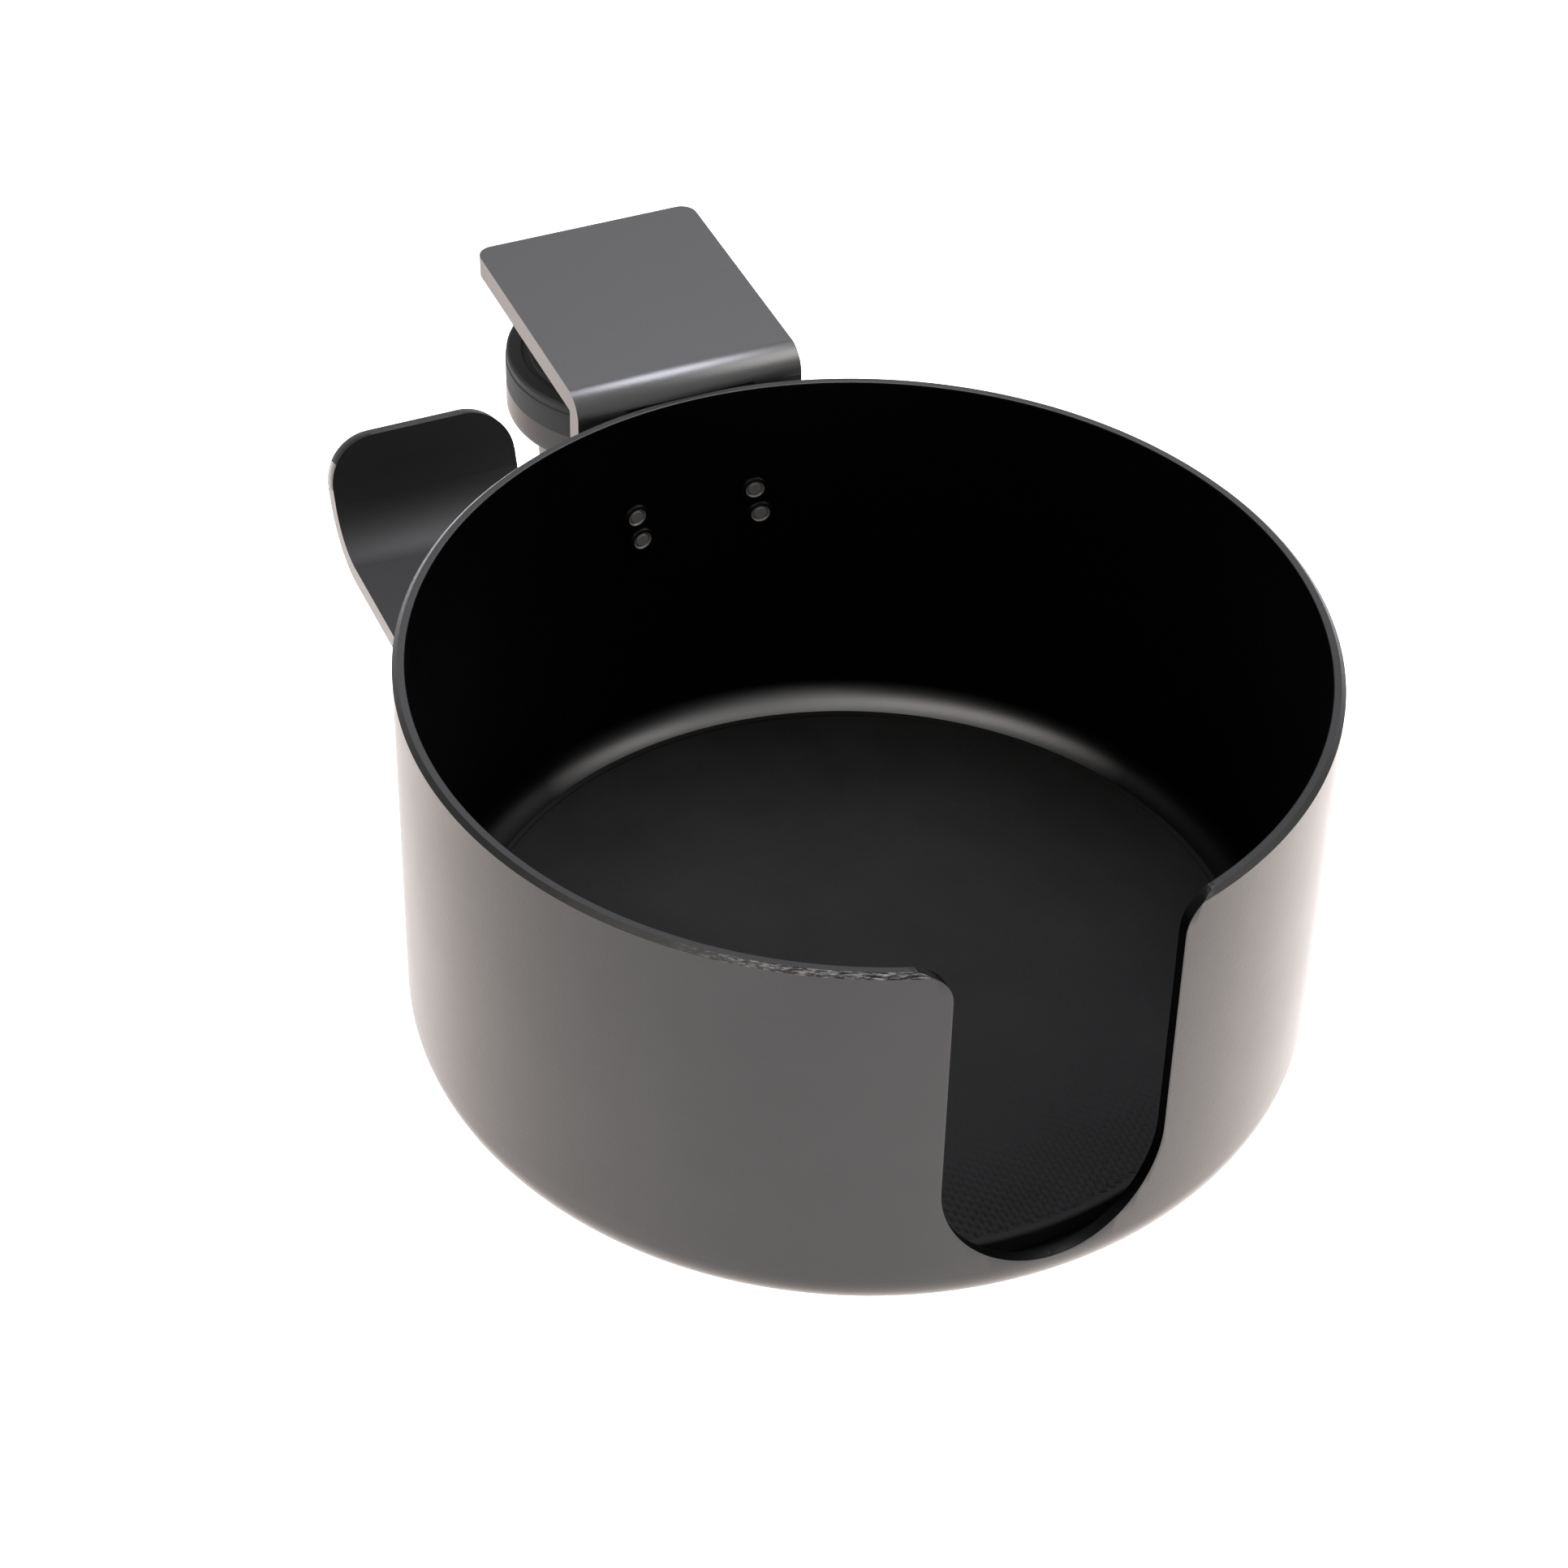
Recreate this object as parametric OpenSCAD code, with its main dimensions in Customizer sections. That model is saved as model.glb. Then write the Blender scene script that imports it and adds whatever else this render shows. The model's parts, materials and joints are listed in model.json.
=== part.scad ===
// Cup holder that clamps to the edge of a desk.
// A round metal cup with a slot for a mug handle is riveted to a clamp bent from one flat strip.
// A hand screw below lifts a swivelling foot against the desk, and the strip ends in a hanging hook.
// Origin: centre of the upper jaw pad's underside, which lies on the desk. +Z up, +Y into the desk.

/* [Cup] */
// Outer diameter of the cup
cup_d = 95; // [85:1:110]
// Height of the cup, from its base to its rim
cup_h = 46; // [38:0.5:60]
// Thickness of the cup's wall
wall_t = 1.3; // [1:0.1:2]
// Thickness of the cup's floor
floor_t = 1.3; // [1:0.1:2]
// Outer radius where the wall turns into the base
base_r = 5; // [3:0.5:8]
// Bevel on the outside of the rim
rim_bevel = 0.5; // [0.2:0.1:0.8]

/* [Handle slot] */
// Width of the slot that a mug handle goes through
slot_w = 24; // [16:1:34]
// Height of the slot's lowest point above the base
slot_floor = 5.1; // [4:0.1:10]
// Radius of the two corners where the slot meets the rim
slot_corner_r = 3.7; // [2:0.1:5]

/* [Floor mat] */
// Thickness of the mat
mat_t = 2; // [1:0.1:3]
// Bevel round the mat's upper edge
mat_bevel = 0.4; // [0.2:0.1:0.8]

/* [Clamp strip] */
// Width of the strip
strip_w = 26; // [22:1:32]
// Thickness of the strip
strip_t = 2.5; // [2:0.1:3.5]
// Length of the upper jaw, from the front of the spine to its tip
jaw_l = 32; // [28:1:44]
// Height of the jaw's upper face above the cup's rim
jaw_rise = 2.4; // [2.2:0.1:5]
// Clear height between the jaw pad and the arm
throat_h = 80; // [74:1:95]
// Inside radius of the bend between jaw and spine
jaw_bend_r = 0.3; // [0.2:0.1:2]
// Inside radius of the bend between spine and arm
arm_bend_r = 4; // [2:0.5:6]
// Radius of the jaw tip's corners
jaw_corner_r = 1.8; // [1:0.1:4]
// How far the spine's front face reaches behind the cup's outermost line, dished to the wall
saddle_depth = 0.6; // [0.3:0.1:0.8]

/* [Hook] */
// Distance from the screw's axis to the hook's tip
hook_reach = 79.5; // [60:0.5:95]
// Height of the hook's tip above the arm's upper face
hook_h = 13.5; // [11:0.5:20]
// Angle of the upturned lip to the arm
hook_angle = 70; // [55:1:80]
// Inside radius of the bend between arm and lip
hook_bend_r = 8; // [4:0.5:9]
// Radius of the lip's two corners
hook_corner_r = 6.5; // [4:0.5:10]

/* [Rivets] */
// Distance between the two columns of rivets
rivet_spacing = 14.5; // [12:0.1:18]
// Distance between the two rows of rivets
rivet_pitch = 3.4; // [3.3:0.1:5]
// How far the lower row sits to the right of the upper one
rivet_lean = 0.7; // [0:0.1:1]
// Depth of the upper row below the rim
rivet_depth = 13.1; // [10:0.1:20]
// Diameter of a rivet's head
rivet_head_d = 3; // [2.6:0.1:3.2]
// Diameter of a rivet's shank
rivet_shank_d = 1.8; // [1.4:0.1:2.2]
// Height of a rivet's head
rivet_head_h = 0.6; // [0.4:0.1:0.8]

/* [Jaw pad] */
// Thickness of the pad under the jaw
pad_t = 1; // [1:0.1:3]
// Length of the pad, along the jaw
pad_l = 24; // [18:1:25]
// Width left bare at each side of the pad
pad_margin = 1; // [0.5:0.5:3]

/* [Clamp screw] */
// Distance from the spine's back face to the screw's axis
screw_back = 16.6; // [15.6:0.1:20]
// Outer diameter of the screw's thread
screw_d = 10; // [8:0.5:11]
// Pitch of the thread
thread_pitch = 2; // [1.5:0.25:3]
// Depth of the thread
thread_depth = 0.7; // [0.4:0.1:1]
// Diameter of the plain neck between thread and ball
neck_d = 7; // [5:0.5:7.5]
// Diameter of the ball on the screw's end
ball_d = 11; // [10:0.5:12]
// Radial clearance of the parts that turn on each other
run_gap = 0.06; // [0.03:0.01:0.1]

/* [Screw bush] */
// Diameter of the bush's flange, on top of the arm
bush_flange_d = 18; // [16:0.5:22]
// Thickness of the bush's flange
bush_flange_t = 2; // [1:0.1:3]
// Diameter of the bush's barrel
bush_d = 14; // [13:0.5:15]
// Length of the barrel below the arm
bush_tail = 4; // [2:0.5:6]

/* [Foot] */
// Height between the jaw pad and the foot pad as stored
jaw_gap = 4.4; // [2:0.1:12]
// Diameter of the foot
foot_d = 27; // [24:0.5:30]
// Height of the foot's disc, without its pad
foot_h = 6.5; // [6.4:0.1:10]
// Diameter of the foot's hub
hub_d = 20; // [19:0.5:22]
// Height of the hub below the disc
hub_h = 7.5; // [6:0.5:8]
// Diameter of the hole that the screw's neck tilts in
hub_hole_d = 8.8; // [8.6:0.1:9.4]
// Thickness of the foot pad
foot_pad_t = 1; // [1:0.1:3]
// Thickness of the thrust washer below the hub
washer_t = 1; // [0.6:0.1:2]
// Outer diameter of the thrust washer
washer_d = 14; // [12:0.5:16]
// Clearance above the thrust washer, for the foot to tilt
tilt_gap = 0.6; // [0.5:0.1:1]

/* [Knob] */
// Diameter of the knob
knob_d = 34; // [28:1:44]
// Height of the knob
knob_h = 19; // [17:1:26]
// Number of finger grooves round the knob
knob_grooves = 7; // [5:1:9]
// Radius of a finger groove
groove_r = 5; // [3:0.5:6]
// Bevel round the knob's upper and lower edges
knob_bevel = 1.6; // [1:0.1:2.5]
// Clearance between the knob and the bush when the screw is fully raised
knob_gap = 1; // [0.5:0.5:3]
// Diameter of the metal insert
insert_d = 15; // [14:0.5:18]
// Height of the metal insert
insert_h = 11; // [9:0.5:12]
// Diameter of the knob bolt's shank
bolt_d = 4; // [3:0.5:5]
// Diameter of the knob bolt's head
bolt_head_d = 7; // [6:0.5:9]
// Height of the knob bolt's head
bolt_head_h = 2.4; // [2:0.1:3]
// Depth of the bolt in the screw's end
bolt_grip = 8; // [6:1:12]
// Diameter of the washer under the bolt's head
bolt_washer_d = 11; // [10:0.5:13]
// Diameter of the cap that closes the knob
cap_d = 16; // [14:0.5:18]
// Thickness of the cap
cap_t = 1.4; // [1:0.1:2]

/* [Hidden] */
$fn = 96;

eps = 0.01;
seat = 0.03;           // gap left between two pieces that are pressed face to face
cup_r = cup_d / 2;
bore_r = cup_r - wall_t;
corner_r = base_r - wall_t;      // inside radius at the foot of the wall
jaw_top = pad_t + strip_t;
rim_z = jaw_top - jaw_rise;
base_z = rim_z - cup_h;
mat_gap = 0.2;         // between the mat and the foot of the wall
mat_r = bore_r - corner_r - mat_gap;

spine_front = -screw_back - strip_t;                // Y of the spine's face towards the cup
screw_reach = cup_r - saddle_depth - spine_front;    // distance from the cup's axis to the screw's
jaw_tip = spine_front + jaw_l;
arm_top = -throat_h;
arm_bottom = arm_top - strip_t;

// Side view of the strip, as [y, z]: the centres of its three bends, and the straight part of its lip
jaw_bend = [spine_front + strip_t + jaw_bend_r, pad_t - jaw_bend_r];
arm_bend = [spine_front + strip_t + arm_bend_r, arm_top + arm_bend_r];
lip_run = (hook_h - hook_bend_r * (1 - cos(hook_angle))) / sin(hook_angle);
lip_way = [cos(hook_angle), sin(hook_angle)];
hook_bend = [
  hook_reach - (hook_bend_r + strip_t) * sin(hook_angle) - lip_run * cos(hook_angle),
  arm_top + hook_bend_r
];
bend_step = 5;         // angle between two points on a bend

// Heights along the screw, from the foot pad down
foot_top = -jaw_gap;
shell_top = foot_top - foot_pad_t;
shell_bottom = shell_top - foot_h;
ball_z = shell_bottom;
hub_bottom = shell_bottom - hub_h;
spigot_h = 2.5;        // the hub's upper ring, pressed into the shell
spigot_wall = 2;
spigot_r = ball_d / 2 + spigot_wall;
pad_inset = 0.1;       // between the edges of the foot and its pad
foot_pad_r = foot_d / 2 - pad_inset;
soft_edge = 0.4;       // bevel round the foot pad
washer_top = hub_bottom - tilt_gap;
shoulder_gap = 0.1;    // between the thrust washer and the screw's shoulder
shoulder_z = washer_top - washer_t - shoulder_gap;
bush_top = arm_top + bush_flange_t;
bush_bottom = arm_bottom - bush_tail;
knob_top = bush_bottom - knob_gap - jaw_gap;
knob_bottom = knob_top - knob_h;
screw_end = knob_top - insert_h;
web_t = 1.5;           // the knob's floor below the screw's end
washer_gap = 0.05;
bolt_washer_t = 0.8;
web_bottom = screw_end - web_t;
head_top = web_bottom - bolt_washer_t - 2 * washer_gap;
cap_ledge = 1;         // width of the step that the cap rests on
cap_dish = 0.4;
cap_rim = 1.5;         // width of the cap's rim round its dish
groove_out = 0.6;      // how far a groove's centre lies outside the knob, in groove radii

// Angles round the cup's axis: of a rivet column, and of the lower row's shift
rivet_angle = asin(rivet_spacing / 2 / cup_r);
lean_angle = asin(rivet_lean / cup_r);
rivet_hole_r = rivet_shank_d / 2 + seat;
rivet_tail_r = rivet_head_d / 2 - 0.2;
rivet_tail_h = 0.5;
rivet_edge = 0.35;     // bevel round a rivet's head
// Grip of a rivet: from the cup's bore to where its whole tail clears the strip's flat back
strip_back = cup_r - saddle_depth + strip_t;
steepest = rivet_angle + lean_angle;
rivet_grip = (strip_back + seat + rivet_tail_r * sin(steepest)) / cos(steepest) - bore_r;

module at_cup() {
  translate([0, -screw_reach, 0]) children();
}

// Places its children at each rivet, with +Z pointing from the cup's axis out through the wall
module at_rivets() {
  at_cup()
    for (side = [-1, 1], row = [0, 1])
      rotate([0, 0, side * rivet_angle - row * lean_angle])
        translate([0, bore_r, rim_z - rivet_depth - row * rivet_pitch])
          rotate([-90, 0, 0]) children();
}

module ring(r_out, r_in, h) {
  difference() {
    cylinder(r = r_out, h = h);
    translate([0, 0, -eps]) cylinder(r = r_in, h = h + 2 * eps);
  }
}

// Flat outline of the handle slot, seen from the front: x across, y up from the base
module slot_outline() {
  slot_r = slot_w / 2;
  flare = slot_r + slot_corner_r;
  translate([0, slot_floor + slot_r]) circle(r = slot_r);
  translate([-slot_r, slot_floor + slot_r]) square([slot_w, cup_h]);
  difference() {
    translate([-flare, cup_h - slot_corner_r]) square([2 * flare, slot_corner_r + 1]);
    for (side = [-1, 1])
      translate([side * flare, cup_h - slot_corner_r]) circle(r = slot_corner_r);
  }
}

module cup_profile() {
  difference() {
    union() {
      square([cup_r - base_r, floor_t + corner_r]);
      translate([0, base_r]) square([cup_r, cup_h - base_r]);
      translate([cup_r - base_r, base_r]) circle(r = base_r);
    }
    translate([-base_r, -base_r]) square([base_r, cup_h + 2 * base_r]);
    translate([-eps, floor_t]) square([bore_r - corner_r + eps, cup_h]);
    translate([-eps, floor_t + corner_r]) square([bore_r + eps, cup_h]);
    translate([bore_r - corner_r, floor_t + corner_r]) circle(r = corner_r);
    translate([cup_r, cup_h]) rotate(45) square(rim_bevel * sqrt(2), center = true);
  }
}

module cup() {
  color([0.26, 0.25, 0.25])
    difference() {
      at_cup() translate([0, 0, base_z])
        difference() {
          rotate_extrude($fn = 180) cup_profile();
          rotate([90, 0, 0]) linear_extrude(cup_r + 1) slot_outline();
        }
      at_rivets() translate([0, 0, -1]) cylinder(r = rivet_hole_r, h = wall_t + 2);
    }
}

module floor_mat() {
  color([0.10, 0.10, 0.11])
    at_cup() translate([0, 0, base_z + floor_t])
      rotate_extrude($fn = 180)
        polygon([
          [0, 0], [mat_r, 0], [mat_r, mat_t - mat_bevel], [mat_r - mat_bevel, mat_t], [0, mat_t]
        ]);
}

// One rivet: its head lies on z = 0 inside the cup, and its tail is spread behind the strip
module rivet() {
  head_r = rivet_head_d / 2;
  ring_r = head_r * 0.55;
  ring_w = 0.18;
  ring_depth = 0.15;
  difference() {
    rotate_extrude($fn = 48)
      polygon([
        [0, -rivet_head_h], [head_r - rivet_edge, -rivet_head_h], [head_r, -rivet_head_h / 2],
        [head_r, -seat], [rivet_shank_d / 2, -seat], [rivet_shank_d / 2, rivet_grip],
        [rivet_tail_r, rivet_grip], [rivet_tail_r, rivet_grip + rivet_tail_h],
        [0, rivet_grip + rivet_tail_h]
      ]);
    translate([0, 0, -rivet_head_h - eps]) ring(ring_r + ring_w, ring_r, ring_depth);
  }
}

module wall_rivets() {
  color([0.20, 0.20, 0.20]) at_rivets() rivet();
}

// Points on an arc round a centre, from one angle to another
function arc(centre, r, from, to) =
  let (steps = ceil(abs(to - from) / bend_step))
  [for (i = [0:steps])
    let (angle = from + (to - from) * i / steps) centre + r * [cos(angle), sin(angle)]];

// One face of the strip, from the jaw's tip to the hook's, the given distance outside the bends
function strip_face(offset) =
  let (lip = arc(hook_bend, hook_bend_r + offset, 270, 270 + hook_angle))
  concat(
    [[jaw_tip, pad_t + offset]],
    arc(jaw_bend, jaw_bend_r + offset, 90, 180),
    arc(arm_bend, arm_bend_r + offset, 180, 270),
    lip,
    [lip[len(lip) - 1] + lip_run * lip_way]
  );

function reversed(list) = [for (i = [len(list) - 1:-1:0]) list[i]];

// What is cut off a strip's two corners to round them: the strip's end lies on x = 0
module corner_cuts(r) {
  half = strip_w / 2;
  for (side = [0, 1]) mirror([0, side, 0])
    translate([-r, half - r, -strip_t - 1]) linear_extrude(2 * strip_t + 2)
      difference() {
        square(r + 1);
        circle(r = r);
      }
}

module clamp_strip() {
  lip_end = strip_face(0)[len(strip_face(0)) - 1];
  color([0.32, 0.31, 0.31])
    difference() {
      translate([-strip_w / 2, 0, 0]) rotate([90, 0, 90]) linear_extrude(strip_w)
        polygon(concat(strip_face(strip_t), reversed(strip_face(0))));
      translate([0, jaw_tip, jaw_top]) rotate([0, 0, 90]) corner_cuts(jaw_corner_r);
      translate([0, lip_end[0], lip_end[1]]) rotate([hook_angle, 0, 0]) rotate([0, 0, 90])
        corner_cuts(hook_corner_r);
      at_cup() translate([0, 0, base_z - 1]) cylinder(r = cup_r + seat, h = cup_h + 1 + 2 * seat, $fn = 180);
      at_rivets() cylinder(r = rivet_hole_r, h = 2 * wall_t + strip_t + 2);
      translate([0, 0, arm_bottom - 1]) cylinder(r = bush_d / 2 + seat, h = strip_t + 2);
    }
}

module jaw_pad() {
  pad_w = strip_w - 2 * pad_margin;
  color([0.08, 0.08, 0.08])
    linear_extrude(pad_t - seat) {
      square([pad_w, pad_l - 2 * jaw_corner_r], center = true);
      square([pad_w - 2 * jaw_corner_r, pad_l], center = true);
      for (sx = [-1, 1], sy = [-1, 1])
        translate([sx * (pad_w / 2 - jaw_corner_r), sy * (pad_l / 2 - jaw_corner_r)])
          circle(r = jaw_corner_r);
    }
}

module screw_bush() {
  barrel_h = bush_top - bush_bottom;
  lip = 0.6;             // rolled out below the arm, to hold the bush
  color([0.62, 0.60, 0.56])
    translate([0, 0, bush_bottom])
      difference() {
        union() {
          cylinder(d = bush_d, h = barrel_h);
          translate([0, 0, barrel_h - bush_flange_t + seat])
            cylinder(d = bush_flange_d, h = bush_flange_t - seat);
          translate([0, 0, bush_tail - lip - seat]) cylinder(d = bush_d + 2 * lip, h = lip);
        }
        translate([0, 0, -1]) cylinder(r = screw_d / 2 + run_gap, h = barrel_h + 2);
      }
}

module thrust_washer() {
  color([0.75, 0.75, 0.72])
    translate([0, 0, washer_top - washer_t]) ring(washer_d / 2, neck_d / 2 + run_gap, washer_t);
}

module foot_pad() {
  color([0.08, 0.08, 0.08])
    translate([0, 0, shell_top + seat])
      rotate_extrude()
        polygon([
          [0, 0], [foot_pad_r, 0], [foot_pad_r, foot_pad_t - soft_edge - seat],
          [foot_pad_r - soft_edge, foot_pad_t - seat], [0, foot_pad_t - seat]
        ]);
}

module foot_shell() {
  edge = 0.6;
  shell_h = shell_top - shell_bottom;
  r = foot_d / 2;
  color([0.30, 0.29, 0.29])
    difference() {
      translate([0, 0, shell_bottom])
        rotate_extrude()
          polygon([
            [0, 0], [r - edge, 0], [r, edge], [r, shell_h], [0, shell_h]
          ]);
      translate([0, 0, ball_z]) sphere(r = ball_d / 2 + run_gap);
      translate([0, 0, shell_bottom - 1]) cylinder(r = spigot_r + seat, h = spigot_h + 1 + seat);
    }
}

module foot_hub() {
  edge = 0.8;
  r = hub_d / 2;
  color([0.24, 0.24, 0.24])
    difference() {
      union() {
        translate([0, 0, hub_bottom])
          rotate_extrude()
            polygon([
              [0, 0], [r - edge, 0], [r, edge], [r, hub_h - seat], [0, hub_h - seat]
            ]);
        translate([0, 0, shell_bottom - 1]) cylinder(r = spigot_r, h = spigot_h + 1);
      }
      translate([0, 0, ball_z]) sphere(r = ball_d / 2 + run_gap);
      translate([0, 0, hub_bottom - 1]) cylinder(d = hub_hole_d, h = hub_h);
      // The ball goes in from above, before the shell is pressed on
      translate([0, 0, ball_z]) cylinder(r = ball_d / 2 + run_gap, h = spigot_h + 1);
    }
}

module clamp_screw() {
  thread_r = screw_d / 2;
  root_r = thread_r - thread_depth;
  thread_l = shoulder_z - screw_end;
  lead = 1;              // plain length at each end of the thread
  tip_gap = 0.5;         // left beyond the bolt's tip
  turns = floor((thread_l - 2 * lead) / thread_pitch);
  color([0.55, 0.55, 0.56])
    difference() {
      union() {
        translate([0, 0, ball_z]) sphere(d = ball_d);
        translate([0, 0, shoulder_z - 1]) cylinder(d = neck_d, h = ball_z - shoulder_z + 1);
        translate([0, 0, screw_end])
          rotate_extrude($fn = 64)
            polygon(concat(
              [[0, 0], [thread_r, 0]],
              [for (i = [0:turns - 1], step = [0:2])
                [step == 1 ? root_r : thread_r, lead + thread_pitch * (i + 0.1 + 0.4 * step)]],
              [[thread_r, thread_l], [0, thread_l]]
            ));
      }
      translate([0, 0, screw_end - 1]) cylinder(d = bolt_d + 2 * seat, h = bolt_grip + 1 + tip_gap);
    }
}

module knob() {
  r = knob_d / 2;
  color([0.12, 0.12, 0.13])
    difference() {
      translate([0, 0, knob_bottom])
        rotate_extrude()
          polygon([
            [0, 0], [r - knob_bevel, 0], [r, knob_bevel], [r, knob_h - knob_bevel],
            [r - knob_bevel, knob_h], [0, knob_h]
          ]);
      for (i = [0:knob_grooves - 1])
        rotate([0, 0, i * 360 / knob_grooves])
          translate([0, r + groove_r * groove_out, knob_bottom - 1]) cylinder(r = groove_r, h = knob_h + 2);
      translate([0, 0, screw_end]) cylinder(r = insert_d / 2 + seat, h = insert_h + 1);
      translate([0, 0, web_bottom - 1]) cylinder(d = bolt_d + 2 * seat, h = web_t + 2);
      translate([0, 0, knob_bottom - 1])
        cylinder(r = cap_d / 2 - cap_ledge, h = web_bottom - knob_bottom + 1);
      translate([0, 0, knob_bottom - 1]) cylinder(r = cap_d / 2 + seat, h = cap_t + 1);
    }
}

module knob_insert() {
  key_depth = 0.5;
  key_h = 2;
  color([0.72, 0.60, 0.34])
    difference() {
      translate([0, 0, screw_end + seat]) ring(insert_d / 2, screw_d / 2 + seat, insert_h - seat);
      // A groove round its middle keys it into the knob
      translate([0, 0, screw_end + (insert_h - key_h) / 2])
        ring(insert_d, insert_d / 2 - key_depth, key_h);
    }
}

module knob_washer() {
  color([0.7, 0.7, 0.72])
    translate([0, 0, web_bottom - washer_gap - bolt_washer_t])
      ring(bolt_washer_d / 2, bolt_d / 2 + seat, bolt_washer_t);
}

module knob_bolt() {
  socket_d = bolt_head_d * 0.45;
  color([0.45, 0.45, 0.47])
    difference() {
      union() {
        translate([0, 0, head_top - bolt_head_h]) cylinder(d = bolt_head_d, h = bolt_head_h);
        translate([0, 0, head_top - 1]) cylinder(d = bolt_d, h = screw_end + bolt_grip - head_top + 1);
      }
      translate([0, 0, head_top - bolt_head_h - 1]) cylinder(d = socket_d, h = bolt_head_h, $fn = 6);
    }
}

module knob_cap() {
  color([0.15, 0.15, 0.16])
    difference() {
      translate([0, 0, knob_bottom]) cylinder(d = cap_d, h = cap_t - seat);
      translate([0, 0, knob_bottom - 1]) cylinder(r = cap_d / 2 - cap_rim, h = 1 + cap_dish);
    }
}

cup();
floor_mat();
wall_rivets();
clamp_strip();
jaw_pad();
screw_bush();
thrust_washer();
foot_pad();
foot_shell();
foot_hub();
clamp_screw();
knob();
knob_insert();
knob_washer();
knob_bolt();
knob_cap();
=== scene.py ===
"""Looks of the desk clamp cup holder, in metres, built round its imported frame."""
import json
import math

import bmesh
import bpy
import numpy as np
from mathutils import Matrix, Vector


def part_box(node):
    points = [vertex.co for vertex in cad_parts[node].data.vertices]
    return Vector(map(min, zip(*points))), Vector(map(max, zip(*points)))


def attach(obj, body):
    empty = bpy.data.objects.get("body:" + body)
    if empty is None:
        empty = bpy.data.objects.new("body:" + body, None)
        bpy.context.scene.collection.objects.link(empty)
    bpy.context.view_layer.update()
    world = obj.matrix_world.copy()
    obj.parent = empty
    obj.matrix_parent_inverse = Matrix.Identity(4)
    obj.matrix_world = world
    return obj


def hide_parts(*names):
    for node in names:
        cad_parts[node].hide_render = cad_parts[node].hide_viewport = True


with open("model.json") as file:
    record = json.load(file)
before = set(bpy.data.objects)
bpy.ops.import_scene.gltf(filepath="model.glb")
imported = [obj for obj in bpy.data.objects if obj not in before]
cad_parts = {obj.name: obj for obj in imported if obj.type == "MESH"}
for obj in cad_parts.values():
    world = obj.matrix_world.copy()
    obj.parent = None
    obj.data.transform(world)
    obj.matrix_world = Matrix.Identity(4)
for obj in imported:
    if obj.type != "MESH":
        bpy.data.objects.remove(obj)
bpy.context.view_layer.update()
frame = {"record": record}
MM = 0.001
TAU = 2 * math.pi

NODE_BODY = {n: body for body, nodes in frame["record"]["behaviour"]["bodies"].items() for n in nodes}

# The photograph's camera: its place, the way it looks and its lens
CAMERA_AT = (-0.1382, -0.3529, 0.2557)
CAMERA_YAW = 24.255
CAMERA_PITCH = 40.57
CAMERA_ROLL = 1.52
LENS_MM = 93.76
SENSOR_MM = 36.0

# Light: what diffuse surfaces get from the world, what the floor adds where it is seen, and three soft lamps
WORLD_DIFFUSE = 0.55
FLOOR_WHITE = 0.4
FLOOR_Z = -0.172
FLOOR_SIZE = 6.0
LAMP_AIM = (0, -0.03, -0.04)
LAMPS = {
    "key_light": {"at": (0.75, -0.25, 0.75), "size": 0.8, "watts": 11.0, "color": (1.0, 0.98, 0.96)},
    "fill_light": {"at": (-0.7, -0.3, 0.8), "size": 0.9, "watts": 6.5, "color": (1.0, 0.95, 0.91)},
    "bend_light": {"at": (0.22, 0.26, 0.84), "size": 0.5, "watts": 12.0, "color": (0.88, 0.90, 1.0)},
}

# Sizes that the frame's boxes don't give, in metres: the gaps between pieces that run or sit in each other,
# then the cup, its mat, the strip, the rivets, the screw and bush, the foot, and the knob
RUN_GAP = 0.06 * MM
SEAT = 0.03 * MM
WALL_T = 1.3 * MM
FLOOR_T = 1.3 * MM
BASE_R = 5.0 * MM
RIM_BEVEL = 0.5 * MM
EDGE_BREAK = 0.16 * MM
SLOT_W = 24 * MM
SLOT_FLOOR = 5.1 * MM
SLOT_CORNER_R = 3.7 * MM
MAT_PITCH = 0.95 * MM
MAT_RELIEF = 0.28 * MM
MAT_BORDER = 1.2 * MM
STRIP_T = 2.5 * MM
JAW_L = 32 * MM
JAW_BEND_R = 0.3 * MM
JAW_CORNER_R = 1.8 * MM
ARM_BEND_R = 4 * MM
HOOK_BEND_R = 8 * MM
HOOK_H = 13.5 * MM
HOOK_ANGLE = math.radians(70)
HOOK_CORNER_R = 6.5 * MM
RIVET_SPACING = 14.5 * MM
RIVET_PITCH = 3.4 * MM
RIVET_LEAN = 0.7 * MM
RIVET_DEPTH = 13.1 * MM
RIVET_HEAD_R = 1.5 * MM
RIVET_SHANK_R = 0.9 * MM
SCREW_R = 5 * MM
THREAD_PITCH = 2 * MM
THREAD_DEPTH = 0.7 * MM
NECK_R = 3.5 * MM
BALL_R = 5.5 * MM
BUSH_R = 7 * MM
BUSH_FLANGE_T = 2 * MM
# Height of the band of dark rubber that paints the shade under the jaw onto the foot
PAINTED_SHADE_BAND = 2.6 * MM
HUB_HOLE_R = 4.4 * MM
SPIGOT_R = 7.5 * MM
KNOB_GROOVES = 7
GROOVE_R = 5 * MM
KNOB_BEVEL = 1.6 * MM
INSERT_R = 7.5 * MM
BOLT_R = 2 * MM
KNOB_WEB = 1.5 * MM
CAP_T = 1.4 * MM

# The share of its relief that the mat keeps where it is worn down
MAT_WORN = 0.08

# Faces that shade flat: those broader than this, and those whose normal runs this close along an axis
BROAD_FACE = 20 * MM * MM
SQUARE_ON = 0.99999

# What counts as a point on a lathe's axis
ON_AXIS = 1e-9

# The powder coat: how metallic and how rough it is, and its patches of gloss per metre
COAT_METALLIC = 0.9
COAT_ROUGHNESS = 0.42
GLOSS_PATCHES = 55

# Where a noise's clouds start and stop, on its scale from 0 to 1
CLOUD_START = 0.3
CLOUD_STOP = 0.7


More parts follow.
